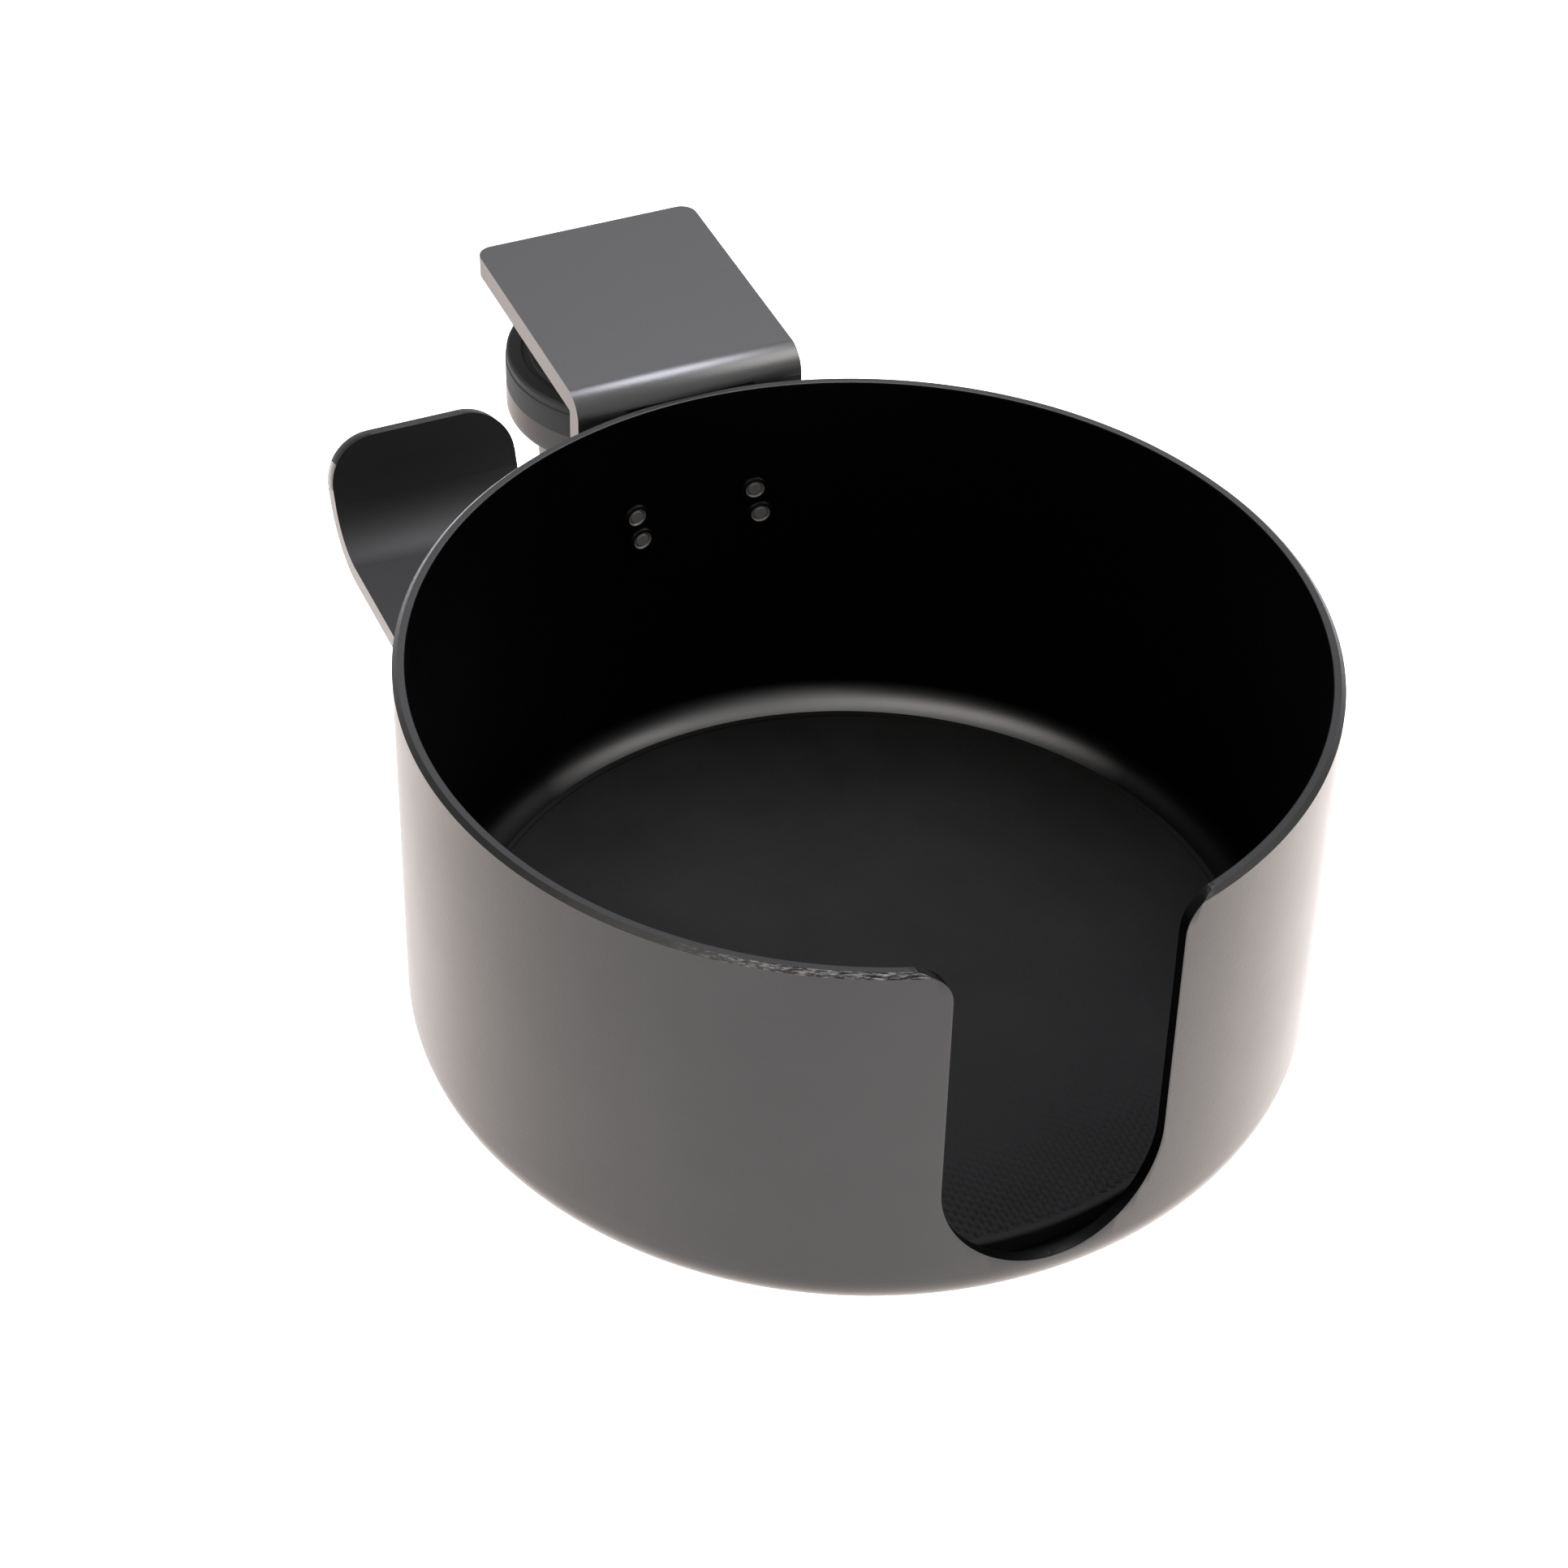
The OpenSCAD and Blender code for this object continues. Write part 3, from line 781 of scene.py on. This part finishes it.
def make_rivets(metal, black):
    """The rivets: a paler button in the middle of each head, and the rest coated black."""
    head_h = 0.6 * MM
    button_r = 1.12 * MM
    tail_r = RIVET_HEAD_R - 0.2 * MM
    tail_h = 0.5 * MM
    r, axis_y, _, _ = cup_sizes()
    strip_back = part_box("clamp_strip")[0].y + STRIP_T - axis_y
    steepest = sum(rivet_angles())
    length = (strip_back + SEAT + tail_r * math.sin(steepest)) / math.cos(steepest) - (r - WALL_T)
    ring = RIVET_HEAD_R * 0.55
    groove = 0.09 * MM
    profile = rounded([
        (0, -head_h * 0.86), (ring - groove * 1.6, -head_h * 0.9), (ring, -head_h * 0.66),
        (ring + groove * 1.8, -head_h), (RIVET_HEAD_R, -head_h * 0.85), (RIVET_HEAD_R, -SEAT),
        (RIVET_SHANK_R, -SEAT), (RIVET_SHANK_R, length), (tail_r, length), (tail_r, length + tail_h),
        (0, length + tail_h),
    ], {1: groove, 3: groove * 1.2, 4: 0.3 * MM, 9: 0.2 * MM})
    meshes = []
    for place in rivet_places():
        mesh = lathe("rivet", profile, segments=48)
        for polygon in mesh.polygons:
            polygon.material_index = int(polygon.center.xy.length > button_r)
        meshes.append(moved(mesh, place))
    mesh = joined("rivets", meshes)
    dress(mesh, metal, black)
    return finished("wall_rivets", mesh, metal)


def make_jaw_pad(rubber):
    """The rubber pad under the jaw, with round corners."""
    low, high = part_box("jaw_pad")
    corners = [(low.x, low.y), (high.x, low.y), (high.x, high.y), (low.x, high.y)]
    outline = rounded(corners, {i: JAW_CORNER_R for i in range(4)})
    mesh = prism("pad", outline, low.z, high.z, Matrix.Identity(4))
    return finished("jaw_pad", worked(mesh, bevel=0.2 * MM), rubber)


def make_bush(metal):
    """The bush: a flange on the arm, and a lip swaged out under it."""
    flange, bottom, top = round_sizes("screw_bush")
    bore = SCREW_R + RUN_GAP
    lip = 0.6 * MM
    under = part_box("clamp_strip")[0].z - SEAT
    flange_z = top - BUSH_FLANGE_T + SEAT
    profile = rounded([
        (bore, bottom), (BUSH_R, bottom), (BUSH_R, under - lip), (BUSH_R + lip, under - lip),
        (BUSH_R + lip, under), (BUSH_R, under), (BUSH_R, flange_z), (flange, flange_z),
        (flange, top), (bore, top),
    ], {0: 0.3 * MM, 1: 0.5 * MM, 3: 0.15 * MM, 7: 0.2 * MM, 8: 0.5 * MM, 9: 0.4 * MM})
    return finished("screw_bush", lathe("bush", profile, closed=True), metal)


def make_washer(node, bore, metal):
    """A flat washer, as wide and high as its node."""
    r, bottom, top = round_sizes(node)
    soft = 0.15 * MM
    profile = rounded([(bore, bottom), (r, bottom), (r, top), (bore, top)], {1: soft, 2: soft, 3: soft})
    return finished(node, lathe(node, profile, closed=True, segments=96), metal)


def make_foot_pad(rubber):
    """The foot's rubber disc, with ring grooves in its face at even shares of its radius."""
    r, bottom, top = round_sizes("foot_pad")
    grooves = 4
    outermost, apart = 0.84, 0.2
    half_w, depth = 0.5 * MM, 0.25 * MM
    points = [(0, bottom), (r, bottom), (r, top)]
    for k in range(grooves):
        at = r * (outermost - apart * k)
        points += [
            (at + half_w, top), (at + half_w * 0.6, top - depth), (at - half_w * 0.6, top - depth),
            (at - half_w, top),
        ]
    points.append((0, top))
    return finished("foot_pad", lathe("foot_pad", rounded(points, {2: 0.4 * MM})), rubber)


def make_foot_shell(coat, rubber):
    """The shell over the ball, with the pad's dark rubber round its upper edge as painted shade under the
    jaw.
    """
    r, bottom, top = round_sizes("foot_shell")
    ball = BALL_R + RUN_GAP
    spigot = SPIGOT_R + SEAT
    spigot_h = 2.5 * MM
    dome = arc(0, bottom, ball, math.pi / 2, math.asin(spigot_h / ball), 14)
    outside = rounded([
        (spigot, bottom + spigot_h + SEAT), (spigot, bottom), (r, bottom), (r, top), (0, top),
    ], {2: 0.6 * MM, 3: 0.2 * MM})
    profile = ringed(dome + [(spigot, dome[-1][1])] + outside, MM)
    mesh = lathe("foot_shell", profile)
    dress(mesh, coat, rubber)
    # Faces round the upper edge take the dark rubber, which paints the shade under the jaw
    for polygon in mesh.polygons:
        if polygon.center.z > top - PAINTED_SHADE_BAND and polygon.center.xy.length > spigot:
            polygon.material_index = 1
    return finished("foot_shell", mesh, coat)


def make_foot_hub(coat):
    """The hub, with a spigot into the shell and the lower half of the ball's socket."""
    r, bottom, top = round_sizes("foot_hub")
    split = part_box("foot_shell")[0].z
    ball = BALL_R + RUN_GAP
    socket = arc(0, split, ball, -math.acos(HUB_HOLE_R / ball), 0, 12)
    outside = rounded([
        (HUB_HOLE_R, bottom), (r, bottom), (r, split - SEAT), (SPIGOT_R, split - SEAT), (SPIGOT_R, top),
        (ball, top),
    ], {0: 0.3 * MM, 1: 0.9 * MM, 2: 0.3 * MM, 4: 0.3 * MM})
    return finished("foot_hub", lathe("foot_hub", outside + socket[::-1], closed=True), coat)


def make_screw(steel):
    """Ball, neck and a true right-hand helical thread, with the bolt's hole in its lower end."""
    low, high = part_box("clamp_screw")
    bottom = low.z
    ball_z = high.z - BALL_R
    neck_top = ball_z - math.sqrt(BALL_R ** 2 - NECK_R ** 2)
    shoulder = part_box("thrust_washer")[0].z - 0.1 * MM
    rings_per_pitch = 12
    rings = int((shoulder - bottom) / (THREAD_PITCH / rings_per_pitch))
    crest, flank = 0.2, 0.175
    lead = 1.2 * MM
    hole = BOLT_R + SEAT
    grip = 8.5 * MM
    end_chamfer = 0.5 * MM
    shoulder_chamfer = 0.3 * MM

    def threaded(radius, z, angle):
        """The radius with the thread cut into it, where it has one: the cut eases out at both ends."""
        if radius < SCREW_R or z > neck_top:
            return radius
        phase = (z / THREAD_PITCH - angle / TAU) % 1.0
        cut = min(max((phase - crest) / flank, 0.0), 1.0) * min((1 - phase) / flank, 1.0)
        ease = min(1.0, (z - bottom) / lead, (shoulder - z) / lead)
        chamfer = max(0.0, end_chamfer - (z - bottom), shoulder_chamfer - (shoulder - z))
        return radius - THREAD_DEPTH * cut * ease - chamfer

    profile = [(0, bottom + grip), (hole, bottom + grip), (hole, bottom)]
    profile += [(SCREW_R, bottom + (shoulder - bottom) * k / rings) for k in range(rings + 1)]
    profile += [(NECK_R, shoulder), (NECK_R, neck_top)]
    profile += arc(0, ball_z, BALL_R, -math.acos(NECK_R / BALL_R), math.pi / 2, 24)[1:-1]
    profile.append((0, ball_z + BALL_R))
    mesh = lathe("screw", profile, segments=64, radius_at=threaded)
    return finished("clamp_screw", mesh, steel, sharp=50)


def make_knob(plastic):
    """A fluted hand knob: soft grooves, a dished top round the insert and a recess for its cap."""
    r, bottom, top = round_sizes("knob")
    cap_r = round_sizes("knob_cap")[0]
    screw_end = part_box("clamp_screw")[0].z
    web = screw_end - KNOB_WEB
    groove_axis = r + GROOVE_R * 0.6
    turn = TAU / KNOB_GROOVES
    soft = 0.5 * MM
    dish_w = 1.6 * MM
    dish_depth = 0.25 * MM

    def fluted(radius, _, angle):
        """The radius with the nearest groove cut into it, where the radius lies in the knob's side."""
        off = (angle - math.pi / 2 + turn / 2) % turn - turn / 2
        side = groove_axis * math.sin(off)
        if radius < r * 0.7 or abs(side) >= GROOVE_R * 1.25:
            return radius
        wall = groove_axis * math.cos(off) - math.sqrt(max(0.0, GROOVE_R ** 2 - side ** 2))
        lean = max(soft - abs(radius - wall), 0.0) / soft
        return min(radius, wall + (radius - r)) - lean ** 2 * soft * 0.25

    outline = [
        (cap_r + SEAT, bottom), (r, bottom), (r, top), (INSERT_R + dish_w, top),
        (INSERT_R + SEAT, top - dish_depth), (INSERT_R + SEAT, screw_end), (BOLT_R + SEAT, screw_end),
        (BOLT_R + SEAT, web), (cap_r - MM, web), (cap_r - MM, bottom + CAP_T),
        (cap_r + SEAT, bottom + CAP_T),
    ]
    rounds = {0: 0.2 * MM, 1: KNOB_BEVEL, 2: KNOB_BEVEL, 3: 0.5 * MM}
    profile = rounded(outline, rounds, step=math.radians(12))
    mesh = lathe("knob", profile, segments=336, closed=True, radius_at=fluted)
    return finished("knob", mesh, plastic, sharp=40)


def make_insert(brass):
    """The threaded insert, with a groove round its middle that keeps it in the knob."""
    _, bottom, top = round_sizes("knob_insert")
    mid = (bottom + top) / 2
    groove = 0.5 * MM
    bore = SCREW_R + SEAT
    profile = rounded([
        (bore, bottom), (INSERT_R, bottom), (INSERT_R, mid - MM), (INSERT_R - groove, mid - MM),
        (INSERT_R - groove, mid + MM), (INSERT_R, mid + MM), (INSERT_R, top), (bore, top),
    ], {6: 0.4 * MM, 7: 0.5 * MM})
    return finished("knob_insert", lathe("insert", profile, closed=True), brass)


def make_bolt(steel):
    """The bolt up into the screw, with a hexagon socket in its head."""
    head_r, bottom, top = round_sizes("knob_bolt")
    head_top = bottom + 2.4 * MM
    profile = rounded([
        (0, bottom), (head_r, bottom), (head_r, head_top), (BOLT_R, head_top), (BOLT_R, top), (0, top),
    ], {1: 0.5 * MM, 2: 0.2 * MM, 4: 0.4 * MM})
    socket_r = head_r * 0.45
    socket_depth = 1.4 * MM
    six = [(socket_r * math.cos(k * TAU / 6), socket_r * math.sin(k * TAU / 6)) for k in range(6)]
    cutter = prism("socket", six, bottom - MM, bottom + socket_depth, Matrix.Identity(4))
    mesh = worked(lathe("bolt", profile, segments=64), [cutter])
    return finished("knob_bolt", mesh, steel)


def make_cap(plastic):
    """The cap over the bolt, with a shallow dish in its face."""
    r, bottom, top = round_sizes("knob_cap")
    dish_r = r - 1.5 * MM
    dish_z = bottom + 0.4 * MM
    profile = rounded([
        (0, dish_z), (dish_r, dish_z), (dish_r + 0.15 * MM, bottom), (r, bottom), (r, top), (0, top),
    ], {1: 0.3 * MM, 2: 0.2 * MM, 3: 0.3 * MM, 4: 0.15 * MM})
    return finished("knob_cap", lathe("cap", profile), plastic)


# ---------------------------------------------------------------- scene

def photo_camera():
    """The scene's camera, at the photograph's viewing angle."""
    yaw, pitch, roll = (math.radians(a) for a in (CAMERA_YAW, CAMERA_PITCH, CAMERA_ROLL))
    forward = Vector((math.sin(yaw) * math.cos(pitch), math.cos(yaw) * math.cos(pitch), -math.sin(pitch)))
    level = Vector((math.cos(yaw), -math.sin(yaw), 0))
    above = level.cross(forward)
    right = level * math.cos(roll) + above * math.sin(roll)
    up = above * math.cos(roll) - level * math.sin(roll)
    data = bpy.data.cameras.new("camera")
    data.lens = LENS_MM
    data.sensor_width = SENSOR_MM
    data.clip_start = 0.01
    camera = bpy.data.objects.new("camera", data)
    camera.matrix_world = Matrix.Translation(CAMERA_AT) @ Matrix((right, up, -forward)).transposed().to_4x4()
    bpy.context.scene.collection.objects.link(camera)
    bpy.context.scene.camera = camera


def seen_or_mirrored(tree):
    """1 for what the camera sees of the background, straight or in metal and glass."""
    path = tree.nodes.new("ShaderNodeLightPath")
    total = path.outputs["Is Camera Ray"]
    for name in ("Is Glossy Ray", "Is Transmission Ray"):
        node = tree.nodes.new("ShaderNodeMath")
        node.operation = "MAXIMUM"
        tree.links.new(total, node.inputs[0])
        tree.links.new(path.outputs[name], node.inputs[1])
        total = node.outputs[0]
    return total


def pale_world():
    """A white background, which lights diffuse surfaces less than it shows."""
    world = bpy.data.worlds.new("world")
    world.use_nodes = True
    tree = world.node_tree
    lit = tree.nodes["Background"]
    lit.inputs["Color"].default_value = (1, 1, 1, 1)
    lit.inputs["Strength"].default_value = WORLD_DIFFUSE
    shown = tree.nodes.new("ShaderNodeBackground")
    shown.inputs["Color"].default_value = (1, 1, 1, 1)
    shown.inputs["Strength"].default_value = 1
    mix = tree.nodes.new("ShaderNodeMixShader")
    tree.links.new(seen_or_mirrored(tree), mix.inputs["Fac"])
    tree.links.new(lit.outputs[0], mix.inputs[1])
    tree.links.new(shown.outputs[0], mix.inputs[2])
    tree.links.new(mix.outputs[0], tree.nodes["World Output"].inputs["Surface"])
    bpy.context.scene.world = world


def soft_lamps():
    """The round area lamps, all turned to one point of the part."""
    aim = Vector(LAMP_AIM)
    for name, lamp in LAMPS.items():
        data = bpy.data.lights.new(name, "AREA")
        data.shape = "DISK"
        data.size = lamp["size"]
        data.energy = lamp["watts"]
        data.color = lamp["color"]
        obj = bpy.data.objects.new(name, data)
        obj.location = lamp["at"]
        obj.rotation_euler = (aim - obj.location).to_track_quat("-Z", "Y").to_euler()
        bpy.context.scene.collection.objects.link(obj)


def pale_floor():
    """A matt white floor, which adds a little light of its own where it is seen."""
    half = FLOOR_SIZE / 2
    corners = [(-half, -half), (half, -half), (half, half), (-half, half)]
    mesh = mesh_from("floor", [(x, y, FLOOR_Z) for x, y in corners], [(0, 1, 2, 3)])
    shader = Shader("floor_white", (0.93, 0.93, 0.93), 0.9, specular=0.0)
    shader.colors(shader.noise(3), [(CLOUD_START, (0.925, 0.925, 0.925)), (CLOUD_STOP, (0.94, 0.94, 0.94))])
    shader.main.inputs["Emission Color"].default_value = (1, 1, 1, 1)
    seen = seen_or_mirrored(shader.tree)
    shader.link(shader.calc("MULTIPLY", seen, FLOOR_WHITE), shader.main.inputs["Emission Strength"])
    mesh.materials.append(shader.material)
    floor = bpy.data.objects.new("floor", mesh)
    bpy.context.scene.collection.objects.link(floor)


coat = coat_material("satin_black", 0.048, sheen=0.7)
side_coat = coat_material("strip_side", 0.062, sheen=0.8)
foot_coat = coat_material("foot_black", 0.042, sheen=0.3)
mat_rubber = rubber_material("mat_rubber", (0.0085, 0.0085, 0.0083), roughness=0.75, specular=0.06)
pad_rubber = rubber_material("pad_rubber", (0.016, 0.016, 0.0165), specular=0.3)
rivet_metal = rubber_material("rivet_dark", (0.075, 0.073, 0.071), roughness=0.5, grain=3000, specular=0.5)
rivet_black = coat_material("rivet_edge", 0.004, sheen=0.0)
zinc = plated_material("zinc_plate", (0.50, 0.50, 0.51))
brass = plated_material("turned_brass", (0.66, 0.50, 0.24), roughness=0.25)
knob_plastic = plastic_material("knob_plastic", (0.024, 0.024, 0.026), 0.48)
cap_plastic = plastic_material("cap_plastic", (0.028, 0.028, 0.030), 0.3, grain=600, depth=0.08)

make_cup(coat)
make_mat(mat_rubber)
make_strip(side_coat)
make_rivets(rivet_metal, rivet_black)
make_jaw_pad(pad_rubber)
make_bush(zinc)
make_washer("thrust_washer", NECK_R + RUN_GAP, zinc)
make_washer("knob_washer", BOLT_R + SEAT, zinc)
make_foot_pad(pad_rubber)
make_foot_shell(foot_coat, pad_rubber)
make_foot_hub(foot_coat)
make_screw(zinc)
make_knob(knob_plastic)
make_insert(brass)
make_bolt(zinc)
make_cap(cap_plastic)

photo_camera()
pale_world()
soft_lamps()
pale_floor()
bpy.context.scene.view_settings.view_transform = "Standard"
